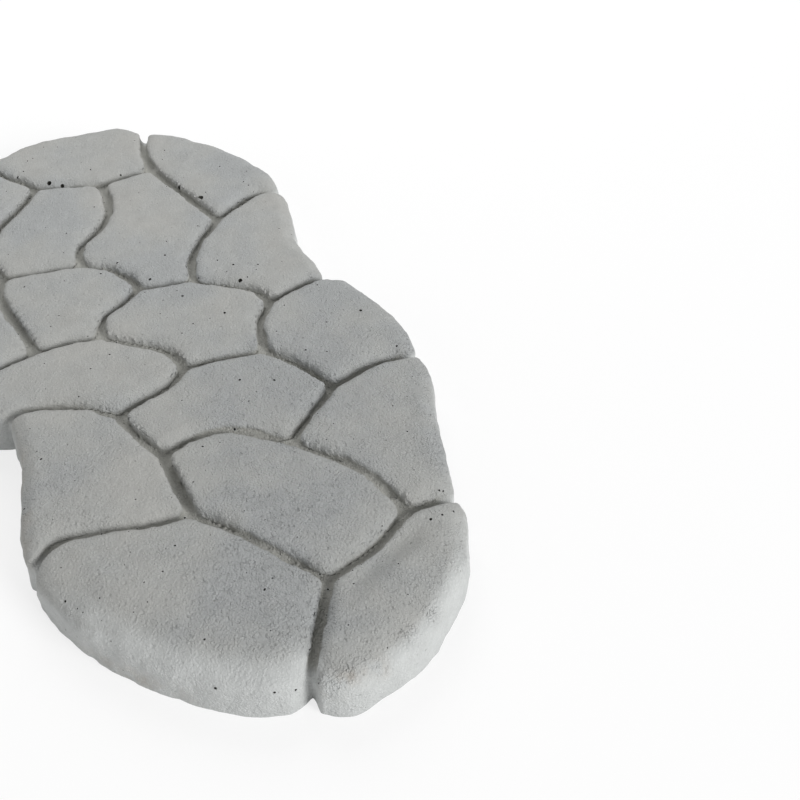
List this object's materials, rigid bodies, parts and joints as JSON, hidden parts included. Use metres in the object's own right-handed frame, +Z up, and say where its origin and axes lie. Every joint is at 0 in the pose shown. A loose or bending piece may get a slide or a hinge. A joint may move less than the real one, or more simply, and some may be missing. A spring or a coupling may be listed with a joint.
{
  "type": "garden stepping stone",
  "caption": "Long irregular cast concrete slab for a garden path, its top moulded as flat fitted stones with grooves between them, its underside flat.",
  "frame": {"origin": "centre of the slab's outline, on its flat underside", "axes": "+Z up out of the grooved top, +Y along the longest way towards the end that lies far from the viewer, +X to the right"},
  "size_m": [0.353, 0.642, 0.036],
  "materials": {
    "cast_concrete": "matt cast concrete, sandy, with pinholes"
  },
  "bodies": {
    "root": {"stepping_stone": "cast_concrete"}
  },
  "joints": []
}
